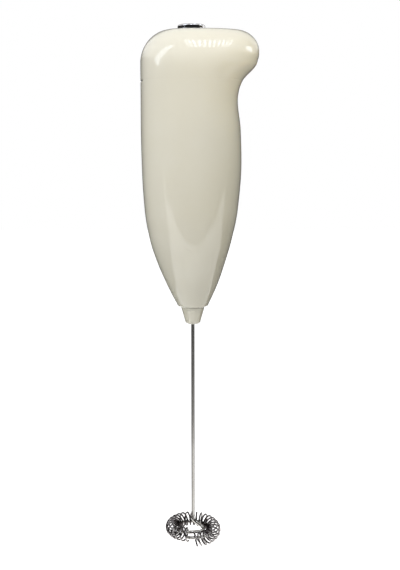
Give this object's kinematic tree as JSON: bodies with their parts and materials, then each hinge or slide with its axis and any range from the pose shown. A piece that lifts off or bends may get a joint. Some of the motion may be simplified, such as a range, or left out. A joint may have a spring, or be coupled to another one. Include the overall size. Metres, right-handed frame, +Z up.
{
  "type": "battery milk whisk",
  "caption": "Hand-held battery milk whisk with a beaked pull-off cap, push button, motor, thin steel shaft and a coil ring.",
  "frame": {"origin": "on the shaft's axis at the middle of the grip, where the hand holds it", "axes": "+Z up along the shaft's axis towards the button, +X towards the beak, -Y towards the front that the picture shows"},
  "size_m": [0.047, 0.034, 0.2153],
  "materials": {
    "cream_plastic": "glossy moulded cream ABS",
    "grey_plastic": "plain moulded inner plastic",
    "black_plastic": "moulded nylon and lead insulation",
    "red_plastic": "lead insulation",
    "cell_wrap": "plain shrunk wrap, no print",
    "button_chrome": "chrome plated plastic",
    "spring_chrome": "bright spring wire",
    "bright_steel": "bright drawn stainless wire",
    "can_steel": "plated sheet steel",
    "contact_brass": "stamped brass strip",
    "bronze": "sintered bronze",
    "copper": "copper",
    "ferrite": "dull sintered ferrite"
  },
  "bodies": {
    "handle": {"body_shell": "cream_plastic", "nose_cone": "cream_plastic", "shaft_bush": "bronze", "chassis": "grey_plastic", "cell_left": "cell_wrap", "cell_right": "cell_wrap", "negative_spring": "bright_steel", "positive_contact": "bright_steel", "lead_black": "black_plastic", "lead_red": "red_plastic", "motor_can": "can_steel", "motor_end_bell": "black_plastic", "magnet_left": "ferrite", "magnet_right": "ferrite", "terminal_left": "contact_brass", "terminal_right": "contact_brass"},
    "cap": {"top_cap": "cream_plastic", "switch_carrier": "grey_plastic", "carrier_screw_front": "bright_steel", "carrier_screw_rear": "bright_steel", "contact_left": "contact_brass", "contact_right": "contact_brass", "button_spring": "bright_steel"},
    "button": {"button": "button_chrome", "bridge_ring": "contact_brass"},
    "whisk": {"motor_shaft": "bright_steel", "armature_core": "can_steel", "winding_1": "copper", "winding_2": "copper", "winding_3": "copper", "commutator": "copper", "coupler": "contact_brass", "whisk_wire": "bright_steel", "whisk_spring": "spring_chrome"}
  },
  "joints": [
    {"name": "whisk_spin", "type": "hinge", "parent": "handle", "child": "whisk", "pos_m": [0, 0, 0], "axis": [0, 0, 1], "continuous": true},
    {"name": "cap_lift", "type": "slide", "parent": "handle", "child": "cap", "axis": [0, 0, 1], "range_m": [0, 0.03]},
    {"name": "button_press", "type": "slide", "parent": "cap", "child": "button", "axis": [0, 0, -1], "range_m": [0, 0.0013], "stiffness_N_per_m": 1000, "springref_m": -0.0008, "deforming": ["button_spring"]}
  ]
}
